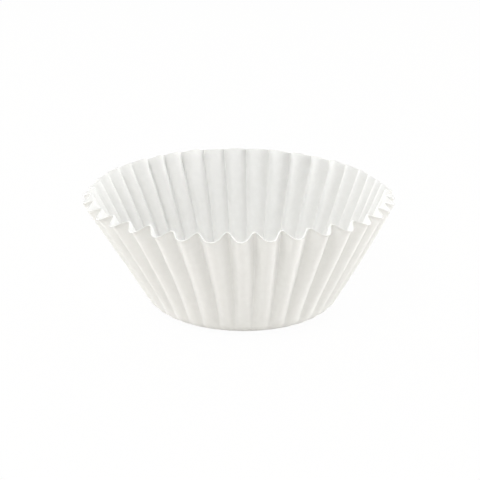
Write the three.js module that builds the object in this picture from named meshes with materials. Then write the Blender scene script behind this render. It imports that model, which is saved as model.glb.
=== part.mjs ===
// Paper candy cup: one round sheet of thin white paper pressed into a shallow tapered cup.
// The middle of the sheet stays flat and is the base. Around it the sheet is turned up into
// the wall, and the paper that a plain cone has no room for stands in flutes, which start
// at the corner of the base and deepen up to the rim.
// Millimetres, +Z up, base on z = 0, front of the cup towards -Y.

import * as THREE from "three";

// Driving dimensions
const BASE_DIAMETER = 31.75; // where the line of the wall would meet the table
const WALL_LENGTH = 22.4; // up the slope, from that circle to the rim
const WALL_LEAN = 27.3; // degrees from upright
const CORNER_RADIUS = 4; // of the bend between base and wall, on the outer face
const PAPER_THICKNESS = 0.08;
const FLUTES = 40;
const FLUTE_FULLNESS = 0.9; // depth as a share of a sharp zigzag's: rounded folds need less
const PRESSED_FLAT = 1.1; // the flutes have their full depth from this place up the section
const FIRST_FOLD = -0.6; // degrees around from the front to the nearest outward fold
const RIM_SHIFT = -0.72; // along X: the rim is pressed a little off the middle of the base

// The cup has been squeezed a little from behind. The folds that point forwards are broader
// than those that point backwards, whether they run outwards or inwards.
const FRONT_FOLDS = { breadth: 0.3, roundness: 0.7 }; // breadth 0 and roundness 1 give waves
const BACK_FOLDS = { breadth: 0.45, roundness: 0.62 };

// Unevenness of a cup that comes off a stack, each as slow waves around the cup
const LEAN_UNEVENNESS = [
  { waves: 1, size: 2.1, start: 85 }, // size in degrees of lean
  { waves: 2, size: 2.25, start: 247 },
];
const FOLD_DRIFT = [
  { waves: 1, size: 2.8, start: 63 }, // size in degrees around the cup
  { waves: 2, size: 2.6, start: 352 },
  { waves: 3, size: 1.3, start: 212 },
];
const DEPTH_UNEVENNESS = [
  { waves: 5, size: 0.06, start: 20 }, // size as a share of the flute's depth
  { waves: 11, size: 0.05, start: 130 },
  { waves: 17, size: 0.04, start: 250 },
];
const RIM_UNEVENNESS = [
  { waves: 2, size: 0.45, start: 90 }, // size in millimetres in and out at the rim
  { waves: 7, size: 0.1, start: 200 },
  { waves: 13, size: 0.08, start: 310 },
];

// Fineness of the mesh
const STEPS_PER_FLUTE = 8;
const CORNER_BANDS = 3;
const WALL_BANDS = 5;

// Values that follow from the driving dimensions
const rad = THREE.MathUtils.degToRad;
const lerp = THREE.MathUtils.lerp;
const RIM_HEIGHT = WALL_LENGTH * Math.cos(rad(WALL_LEAN));
const COLUMNS = FLUTES * STEPS_PER_FLUTE;

// A sum of waves around the cup, at an angle in radians.
function unevenness(waves, angle) {
  return waves.reduce(
    (sum, wave) => sum + wave.size * Math.sin(wave.waves * angle + rad(wave.start)),
    0,
  );
}

// Section of the cup before it is fluted, where the wall leans by an angle in radians:
// place runs from 0 at the edge of the flat base to 1 at the top of the rounded corner and
// 2 at the rim. Along is the distance from the middle of the sheet.
function section(place, lean) {
  const turn = Math.PI / 2 - lean;
  const reach = CORNER_RADIUS * Math.tan(turn / 2);
  const flat = BASE_DIAMETER / 2 - reach;
  const bend = turn * Math.min(place, 1);
  const straight = (WALL_LENGTH - reach) * Math.max(place - 1, 0);
  return {
    along: flat + CORNER_RADIUS * bend + straight,
    radius: flat + CORNER_RADIUS * Math.sin(bend) + straight * Math.cos(turn),
    height: CORNER_RADIUS * (1 - Math.cos(bend)) + straight * Math.sin(turn),
    slope: bend,
  };
}

// Depth of the flutes: the sheet is wider there than the cup, and folds of this depth take
// up the difference.
function fluteDepth(along, radius) {
  const spare = along / radius;
  const pitch = (2 * Math.PI * radius) / FLUTES;
  return FLUTE_FULLNESS * (pitch / 2) * Math.sqrt(Math.max(spare * spare - 1, 0));
}

// Share of the depth at a place and angle: 0 on an outward fold, 1 on an inward one.
// Breadth moves the flanks of a flute towards its narrow fold, and the power below 1
// tightens that fold. Towards the rim the flutes open again.
function fold(place, angle, around) {
  const front = 0.5 + 0.5 * Math.cos(around);
  const open = 1 - 0.5 * Math.max(place - 1, 0) ** 6;
  const breadth = open * lerp(BACK_FOLDS.breadth, FRONT_FOLDS.breadth, front);
  const turn = FLUTES * angle;
  const phase = turn - breadth * Math.cos(around) * Math.sin(turn);
  const inward = 0.5 - 0.5 * Math.cos(phase);
  const atFront = 1 - (1 - inward) ** FRONT_FOLDS.roundness;
  const atBack = inward ** BACK_FOLDS.roundness;
  return lerp(atBack, atFront, front);
}

// A point of the outer face.
function outerPoint(place, angle) {
  const around = angle + rad(FIRST_FOLD + unevenness(FOLD_DRIFT, angle));
  const lean = rad(WALL_LEAN + unevenness(LEAN_UNEVENNESS, around));
  const { along, radius, height, slope } = section(place, lean);
  const up = (height / RIM_HEIGHT) ** 2;
  const pressed = THREE.MathUtils.smoothstep(place, 0, PRESSED_FLAT);
  const depth =
    pressed *
    fluteDepth(along, radius) *
    fold(place, angle, around) *
    (1 + unevenness(DEPTH_UNEVENNESS, angle));
  const out = radius - depth * Math.sin(slope) + up * unevenness(RIM_UNEVENNESS, angle);
  return new THREE.Vector3(
    out * Math.sin(around) + RIM_SHIFT * up,
    -out * Math.cos(around),
    height + depth * Math.cos(slope),
  );
}

// The same place on the inner face, one paper thickness inwards.
function innerPoint(place, angle) {
  const step = 1e-5;
  const here = outerPoint(place, angle);
  const upSheet = outerPoint(place + step, angle).sub(outerPoint(place, angle));
  const acrossSheet = outerPoint(place, angle + step).sub(outerPoint(place, angle - step));
  const inwards = upSheet.cross(acrossSheet).normalize();
  return here.addScaledVector(inwards, PAPER_THICKNESS);
}

// Places of the rings of vertices, from the edge of the flat base to the rim. They stand
// closer together low on the wall, where the flutes deepen fastest.
function ringPlaces() {
  const places = [];
  for (let i = 0; i <= CORNER_BANDS; i++) {
    places.push(i / CORNER_BANDS);
  }
  for (let i = 1; i <= WALL_BANDS; i++) {
    places.push(1 + (i / WALL_BANDS) ** 1.3);
  }
  return places;
}

// The cup as one closed skin: outer face, rim edge and inner face, each face closed by
// a fan over the flat base.
function cupGeometry() {
  const places = ringPlaces();
  const positions = [];
  const indices = [];
  const add = (point) => positions.push(point.x, point.y, point.z) / 3 - 1;
  const rings = (pointAt) =>
    places.map((place) =>
      Array.from({ length: COLUMNS }, (_, column) =>
        add(pointAt(place, (2 * Math.PI * column) / COLUMNS)),
      ),
    );
  const strip = (low, high) => {
    for (let i = 0; i < COLUMNS; i++) {
      const j = (i + 1) % COLUMNS;
      indices.push(low[i], low[j], high[j], low[i], high[j], high[i]);
    }
  };

  const outerCentre = add(new THREE.Vector3(0, 0, 0));
  const innerCentre = add(new THREE.Vector3(0, 0, PAPER_THICKNESS));
  const outer = rings(outerPoint);
  const inner = rings(innerPoint);
  for (let i = 0; i < COLUMNS; i++) {
    const j = (i + 1) % COLUMNS;
    indices.push(outerCentre, outer[0][j], outer[0][i]);
    indices.push(innerCentre, inner[0][i], inner[0][j]);
  }
  for (let k = 1; k < places.length; k++) {
    strip(outer[k - 1], outer[k]);
    strip(inner[k], inner[k - 1]);
  }
  strip(outer.at(-1), inner.at(-1));

  const geometry = new THREE.BufferGeometry();
  geometry.setAttribute("position", new THREE.Float32BufferAttribute(positions, 3));
  geometry.setIndex(indices);
  geometry.computeVertexNormals();
  return geometry;
}

// White greaseproof paper with a dull surface
const paper = new THREE.MeshStandardMaterial({
  color: 0xf0f0ec,
  roughness: 0.85,
  metalness: 0,
  side: THREE.DoubleSide,
});

const cup = new THREE.Mesh(cupGeometry(), paper);
cup.name = "fluted_cup";

const candyCup = new THREE.Group();
candyCup.name = "paper_candy_cup";
candyCup.add(cup);

export default candyCup;
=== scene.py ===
"""A small white paper candy cup, pressed from one round sheet of greaseproof paper.

It stands on a white sweep in soft studio light. Metres, +Z up, front of the cup towards -Y.
"""

import math

import bpy
import numpy as np
from mathutils import Matrix, Vector


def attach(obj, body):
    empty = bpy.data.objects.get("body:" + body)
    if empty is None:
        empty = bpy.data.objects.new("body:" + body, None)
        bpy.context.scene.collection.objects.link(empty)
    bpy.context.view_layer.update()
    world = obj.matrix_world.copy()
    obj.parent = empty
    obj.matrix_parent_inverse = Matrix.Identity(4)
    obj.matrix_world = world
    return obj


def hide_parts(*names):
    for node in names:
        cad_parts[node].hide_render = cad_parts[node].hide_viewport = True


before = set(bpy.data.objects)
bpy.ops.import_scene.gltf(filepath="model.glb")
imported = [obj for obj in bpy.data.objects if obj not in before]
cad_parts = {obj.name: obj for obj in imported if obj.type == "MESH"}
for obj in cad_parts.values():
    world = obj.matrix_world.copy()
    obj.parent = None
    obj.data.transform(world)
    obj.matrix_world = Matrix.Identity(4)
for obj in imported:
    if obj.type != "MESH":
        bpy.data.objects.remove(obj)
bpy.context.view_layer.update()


# The sheet
# A round sheet of thin paper is pressed between two fluted dies. Its middle stays flat as
# the base, the rest turns up around a rounded corner, and the spare paper stands in flutes
# that deepen up to the raw cut rim. Lengths in this section are in millimetres.
MM = 0.001
BASE_DIAMETER = 31.75  # where the line of the wall would meet the table
WALL_LENGTH = 22.4  # up the slope, from that circle to the rim
WALL_LEAN = 27.3  # degrees from upright
CORNER_RADIUS = 4
PAPER_THICKNESS = 0.08
FLUTES = 40
FLUTE_FULLNESS = 0.9  # depth as a share of a sharp zigzag's: rounded folds need less
PRESSED_FLAT = 1.1  # the flutes have their full depth from this place up the section
FIRST_FOLD = -0.6  # degrees around from the front to the nearest outward fold
RIM_SHIFT = -0.72  # along X: the rim is pressed a little off the middle of the base
RIM_HEIGHT = WALL_LENGTH * math.cos(math.radians(WALL_LEAN))

# Shape of the folds: breadth 0 and roundness 1 give plain waves. Folds at the sides, and
# the front ones at the rim, are rounder by the third value.
FRONT_BREADTH, FRONT_ROUNDNESS = 0.35, 0.7
BACK_BREADTH, BACK_ROUNDNESS = 0.4, 0.65
ROUNDER = 0.35

# What happens in the last stretch below the rim: the place where it starts, and its size.
CUT_STARTS = 1.9
FRONT_OPENS, FRONT_OPENING = 1.88, 0.054
BACK_CLOSES, BACK_CLOSING = 1.92, 0.8
LIP_STARTS, LIP_CURL, LIP_CURL_AT_BACK = 1.991, 0.4, 0.05

# Unevenness of a cup that comes off a stack. Each row is the number of waves around the cup,
# their size, and where they start in degrees.
LEAN_UNEVENNESS = [(1, 2.1, 85), (2, 2.25, 247)]  # sizes in degrees
FOLD_DRIFT = [(1, 2.8, 63), (2, 2.6, 352), (3, 1.3, 212)]  # degrees
FOLD_WANDER = [(7, 0.25, 30), (19, 0.2, 160), (29, 0.15, 275)]  # degrees
DEPTH_UNEVENNESS = [(5, 0.06, 20), (11, 0.05, 130), (17, 0.04, 250)]  # shares of the depth
RIM_UNEVENNESS = [(2, 0.45, 90), (7, 0.1, 200), (13, 0.08, 310)]  # millimetres
CUT_UNEVENNESS = [(9, 0.05, 10), (23, 0.05, 140), (37, 0.04, 250)]  # millimetres
LIP_UNEVENNESS = [(3, 0.06, 250), (8, 0.05, 20), (21, 0.04, 100)]  # millimetres


def unevenness(waves, angle):
    return sum(
        size * np.sin(count * angle + math.radians(start)) for count, size, start in waves
    )


def last_stretch(place, start):
    """0 up to the start, then evenly up to 1 at the rim."""
    return np.maximum(place - start, 0) / (2 - start)


def outer_face(place, angle):
    """Points of the outer face. Place is 0 at the edge of the flat base, 1 at the top of the
    rounded corner and 2 at the rim, and angle goes around from the front towards +X."""
    around = angle + np.radians(FIRST_FOLD + unevenness(FOLD_DRIFT, angle))
    turn = np.radians(90 - WALL_LEAN - unevenness(LEAN_UNEVENNESS, around))
    reach = CORNER_RADIUS * np.tan(turn / 2)
    flat = BASE_DIAMETER / 2 - reach
    bend = turn * np.minimum(place, 1)
    straight = (WALL_LENGTH - reach) * np.maximum(place - 1, 0)
    straight = straight + last_stretch(place, CUT_STARTS) * unevenness(CUT_UNEVENNESS, angle)
    along = flat + CORNER_RADIUS * bend + straight
    radius = flat + CORNER_RADIUS * np.sin(bend) + straight * np.cos(turn)
    height = CORNER_RADIUS * (1 - np.cos(bend)) + straight * np.sin(turn)

    # Outward folds are broad at the front and narrow at the back, and all wander a little on
    # their way up.
    front = 0.5 + 0.5 * np.cos(around)
    wander = np.radians(unevenness(FOLD_WANDER, angle)) * np.sin(3 * place + 5 * angle)
    phase = FLUTES * (angle + wander * np.minimum(place, 1))
    breadth = BACK_BREADTH + (FRONT_BREADTH - BACK_BREADTH) * front
    phase = phase - breadth * np.cos(around) * np.sin(phase)
    inward = 0.5 - 0.5 * np.cos(phase)
    sideways = 4 * front * (1 - front)
    rounded = np.maximum(sideways, last_stretch(place, 1) ** 4)
    at_front = 1 - (1 - inward) ** (FRONT_ROUNDNESS + ROUNDER * rounded)
    at_back = inward ** (BACK_ROUNDNESS + ROUNDER * sideways)
    fold = front * at_front + (1 - front) * at_back
    spare = np.sqrt(np.maximum((along / radius) ** 2 - 1, 0))
    depth = FLUTE_FULLNESS * math.pi * radius / FLUTES * spare * fold
    depth = depth * (1 + unevenness(DEPTH_UNEVENNESS, angle))
    pressed = np.clip(place / PRESSED_FLAT, 0, 1)
    depth = depth * pressed**2 * (3 - 2 * pressed)

    # At the rim the outward folds open a little in front and close at the back, and the
    # knife leaves a lip that curls outwards.
    opening = FRONT_OPENING * (1 - inward) * last_stretch(place, FRONT_OPENS) ** 2
    closing = BACK_CLOSING * (1 - inward) * last_stretch(place, BACK_CLOSES)
    lip = last_stretch(place, LIP_STARTS) * (LIP_CURL + unevenness(LIP_UNEVENNESS, angle))
    curl = LIP_CURL_AT_BACK + (1 - LIP_CURL_AT_BACK) * front**2
    depth = depth - opening * front**2 + closing * (1 - front) ** 2 - lip * curl

    up = (height / RIM_HEIGHT) ** 2
    out = radius - depth * np.sin(bend) + up * unevenness(RIM_UNEVENNESS, angle)
    return np.stack(
        [
            out * np.sin(around) + RIM_SHIFT * up,
            -out * np.cos(around),
            height + depth * np.cos(bend),
        ],
        axis=-1,
    )


# Rings of points around the cup: up the corner, up the wall, where they stand closer
# together at the bottom, and two more over the lip. The inner face lies one paper thickness
# inside the outer one.
STEPS_PER_FLUTE = 20
BASE_BANDS = 8
CORNER_BANDS = 12
WALL_BANDS = 32
columns = FLUTES * STEPS_PER_FLUTE
angles = np.arange(columns) * 2 * math.pi / columns
corner_places = np.linspace(0, 1, CORNER_BANDS + 1)
wall_places = 1 + (LIP_STARTS - 1) * np.linspace(0, 1, WALL_BANDS + 1)[1:] ** 1.15
lip_places = [(LIP_STARTS + 2) / 2, 2]
places = np.concatenate([corner_places, wall_places, lip_places])
place_grid, angle_grid = np.meshgrid(places, angles, indexing="ij")
outer = outer_face(place_grid, angle_grid)
step = 1e-4
rise = outer_face(place_grid + step, angle_grid) - outer_face(place_grid - step, angle_grid)
across = outer_face(place_grid, angle_grid + step) - outer_face(place_grid, angle_grid - step)
inwards = np.cross(rise, across)
inwards = inwards / np.linalg.norm(inwards, axis=-1, keepdims=True)
inner = outer + PAPER_THICKNESS * inwards

# The flat base is carried in to the middle by shrinking the lowest ring of each face. The
# rings run from the middle of the outer face up, over the cut edge, and down inside.
shrink = np.linspace(0, 1, BASE_BANDS + 1)[1:-1, None, None]
base_outer = outer[0] * shrink
base_inner = inner[0] * shrink + np.array([0, 0, 1]) * (1 - shrink) * PAPER_THICKNESS
rings_outer = np.concatenate([base_outer, outer])
rings_inner = np.concatenate([base_inner, inner])
ring_count = len(rings_outer)
vertices = np.concatenate([rings_outer, rings_inner[::-1]]).reshape(-1, 3)
vertices = np.concatenate([vertices, [[0, 0, 0], [0, 0, PAPER_THICKNESS]]]) * MM
here = np.arange(2 * ring_count * columns).reshape(2 * ring_count, columns)
beside = np.roll(here, -1, axis=1)
quads = np.stack([here[:-1], beside[:-1], beside[1:], here[1:]], axis=-1).reshape(-1, 4)
outer_middle = 2 * ring_count * columns
inner_middle = outer_middle + 1
fans = [(outer_middle, int(b), int(a)) for a, b in zip(here[0], beside[0])]
fans += [(inner_middle, int(a), int(b)) for a, b in zip(here[-1], beside[-1])]

sheet = bpy.data.meshes.new("paper_cup")
sheet.from_pydata(vertices.tolist(), [], quads.tolist() + fans)
sheet.validate()
for polygon in sheet.polygons:
    polygon.use_smooth = True
cup = bpy.data.objects.new("paper_cup", sheet)
bpy.context.scene.collection.objects.link(cup)
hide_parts("fluted_cup")
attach(cup, "root")


# The paper
# White greaseproof paper of about 45 g a square metre, with a dull surface. Its fibres lie
# in faint clouds, and it is thin enough for light to come through the wall.
paper = bpy.data.materials.new("greaseproof_paper")
paper.use_nodes = True
nodes = paper.node_tree.nodes
links = paper.node_tree.links
shader = nodes["Principled BSDF"]
shader.inputs["Roughness"].default_value = 0.62
shader.inputs["Specular IOR Level"].default_value = 0.3
shader.inputs["Subsurface Weight"].default_value = 1.0
shader.inputs["Subsurface Radius"].default_value = (1.0, 1.0, 1.0)
shader.inputs["Subsurface Scale"].default_value = 0.00005
shader.inputs["Sheen Weight"].default_value = 0.12
shader.inputs["Sheen Roughness"].default_value = 0.3

# Faint clouds where the pulp lies thicker
place = nodes.new("ShaderNodeTexCoord")
clouds = nodes.new("ShaderNodeTexNoise")
clouds.inputs["Scale"].default_value = 900
clouds.inputs["Detail"].default_value = 4
clouds.inputs["Roughness"].default_value = 0.6
links.new(place.outputs["Object"], clouds.inputs["Vector"])
tint = nodes.new("ShaderNodeValToRGB")
tint.color_ramp.elements[0].position = 0.3
tint.color_ramp.elements[0].color = (0.805, 0.805, 0.79, 1)
tint.color_ramp.elements[1].position = 0.7
tint.color_ramp.elements[1].color = (0.835, 0.835, 0.822, 1)
links.new(clouds.outputs["Fac"], tint.inputs["Fac"])
links.new(tint.outputs["Color"], shader.inputs["Base Color"])

# A fine grain of fibres, and the slight cockle of pressed paper
fibres = nodes.new("ShaderNodeTexNoise")
fibres.inputs["Scale"].default_value = 2600
fibres.inputs["Detail"].default_value = 3
fibres.inputs["Distortion"].default_value = 1.5
links.new(place.outputs["Object"], fibres.inputs["Vector"])
grain = nodes.new("ShaderNodeBump")
grain.inputs["Strength"].default_value = 0.12
grain.inputs["Distance"].default_value = 0.00004
links.new(fibres.outputs["Fac"], grain.inputs["Height"])
crumple = nodes.new("ShaderNodeTexNoise")
crumple.inputs["Scale"].default_value = 650
crumple.inputs["Detail"].default_value = 2
links.new(place.outputs["Object"], crumple.inputs["Vector"])
cockle = nodes.new("ShaderNodeBump")
cockle.inputs["Strength"].default_value = 0.25
cockle.inputs["Distance"].default_value = 0.0002
links.new(crumple.outputs["Fac"], cockle.inputs["Height"])
links.new(grain.outputs["Normal"], cockle.inputs["Normal"])
links.new(cockle.outputs["Normal"], shader.inputs["Normal"])
cup.data.materials.append(paper)


# The sweep
# A white sheet of studio paper under the cup. It runs out of view on every side, and takes
# only a faint shadow where the cup stands.
half = 600 * MM
below = 0.02 * MM
ground = bpy.data.meshes.new("sweep")
ground.from_pydata(
    [(-half, -half, 0), (half, -half, 0), (half, half, 0), (-half, half, 0)], [], [(0, 1, 2, 3)]
)
sweep = bpy.data.objects.new("sweep", ground)
sweep.location.z = -below
bpy.context.scene.collection.objects.link(sweep)
white = bpy.data.materials.new("sweep_white")
white.use_nodes = True
nodes = white.node_tree.nodes
links = white.node_tree.links
nodes.clear()
output = nodes.new("ShaderNodeOutputMaterial")
surface = nodes.new("ShaderNodeBsdfDiffuse")
surface.inputs["Color"].default_value = (0.82, 0.802, 0.77, 1)

# To the camera it is nearly as white as the backdrop, and the rest of it takes the shadow.
glow = nodes.new("ShaderNodeEmission")
glow.inputs["Color"].default_value = (1, 1, 1, 1)
glow.inputs["Strength"].default_value = 1.0
seen = nodes.new("ShaderNodeLightPath")
share = nodes.new("ShaderNodeMath")
share.operation = "MULTIPLY"
share.inputs[1].default_value = 0.96
mix = nodes.new("ShaderNodeMixShader")
links.new(seen.outputs["Is Camera Ray"], share.inputs[0])
links.new(share.outputs["Value"], mix.inputs["Fac"])
links.new(surface.outputs["BSDF"], mix.inputs[1])
links.new(glow.outputs["Emission"], mix.inputs[2])
links.new(mix.outputs["Shader"], output.inputs["Surface"])
sweep.data.materials.append(white)


# The light
# A light tent: soft light from all around, a little more of it from both sides and from
# behind. A large panel stands high behind the cup, a small one high in front and to the
# left, and a long low one on each side.
TENT_ALL_ROUND = 0.75
TENT_SIDES = 0.14
TENT_BEHIND = 0.16
world = bpy.data.worlds.new("tent")
bpy.context.scene.world = world
world.use_nodes = True
nodes = world.node_tree.nodes
links = world.node_tree.links
nodes.clear()
output = nodes.new("ShaderNodeOutputWorld")
soft = nodes.new("ShaderNodeBackground")
soft.inputs["Color"].default_value = (1, 1, 1, 1)
backdrop = nodes.new("ShaderNodeBackground")
backdrop.inputs["Color"].default_value = (1, 1, 1, 1)
backdrop.inputs["Strength"].default_value = 1.0
direction = nodes.new("ShaderNodeTexCoord")
split = nodes.new("ShaderNodeSeparateXYZ")
links.new(direction.outputs["Generated"], split.inputs["Vector"])

# Strength of the tent in a direction: the even part, the sides' share times x squared, and
# the share from behind times y where y is above 0.
total = nodes.new("ShaderNodeValue").outputs["Value"]
total.default_value = TENT_ALL_ROUND
for axis, power, share in [("X", 2, TENT_SIDES), ("Y", 1, TENT_BEHIND)]:
    towards = nodes.new("ShaderNodeMath")
    towards.operation = "MULTIPLY" if power == 2 else "MAXIMUM"
    links.new(split.outputs[axis], towards.inputs[0])
    if power == 2:
        links.new(split.outputs[axis], towards.inputs[1])
    else:
        towards.inputs[1].default_value = 0
    added = nodes.new("ShaderNodeMath")
    added.operation = "MULTIPLY_ADD"
    links.new(towards.outputs["Value"], added.inputs[0])
    added.inputs[1].default_value = share
    links.new(total, added.inputs[2])
    total = added.outputs["Value"]
links.new(total, soft.inputs["Strength"])
seen = nodes.new("ShaderNodeLightPath")
mix = nodes.new("ShaderNodeMixShader")
links.new(seen.outputs["Is Camera Ray"], mix.inputs["Fac"])
links.new(soft.outputs["Background"], mix.inputs[1])
links.new(backdrop.outputs["Background"], mix.inputs[2])
links.new(mix.outputs["Shader"], output.inputs["Surface"])

# Each row is a panel's name, its width, height and place in metres, and its power in watts.
middle = Vector((0, 0, 10 * MM))
for name, width, height, position, power in [
    ("panel_behind", 0.6, 0.4, (0.0, 0.38, 0.32), 0.25),
    ("panel_before", 0.2, 0.2, (-0.15, -0.26, 0.38), 0.66),
    ("panel_left", 0.5, 0.16, (-0.42, 0.1, 0.05), 1.0),
    ("panel_right", 0.5, 0.16, (0.42, 0.05, 0.05), 1.15),
]:
    panel = bpy.data.lights.new(name, "AREA")
    panel.shape = "RECTANGLE"
    panel.size = width
    panel.size_y = height
    panel.energy = power
    lamp = bpy.data.objects.new(name, panel)
    lamp.location = position
    lamp.rotation_euler = (middle - Vector(position)).to_track_quat("-Z", "Y").to_euler()
    bpy.context.scene.collection.objects.link(lamp)


# The camera
# A long lens close to the cup, looking down on it from the front, with a slight roll that
# the photograph has too.
ELEVATION = 19.34  # degrees
ROLL = 0.70  # degrees
DISTANCE = 175 * MM
LENS = 75.4  # focal length in millimetres, on a sensor 36 mm wide
aim = Vector((-0.46, 0, 10.82)) * MM
tilt = math.radians(ELEVATION)
ahead = Vector((0, math.cos(tilt), -math.sin(tilt)))
side = Vector((1, 0, 0))
top = side.cross(ahead)
turned_side = side * math.cos(math.radians(ROLL)) + top * math.sin(math.radians(ROLL))
turned_top = top * math.cos(math.radians(ROLL)) - side * math.sin(math.radians(ROLL))
lens = bpy.data.cameras.new("camera")
lens.lens = LENS
lens.sensor_width = 36
lens.clip_start = 0.01
camera = bpy.data.objects.new("camera", lens)
camera.matrix_world = Matrix.Translation(aim - ahead * DISTANCE) @ Matrix(
    (turned_side, turned_top, -ahead)
).transposed().to_4x4()
bpy.context.scene.collection.objects.link(camera)
bpy.context.scene.camera = camera
bpy.context.scene.view_settings.view_transform = "Standard"
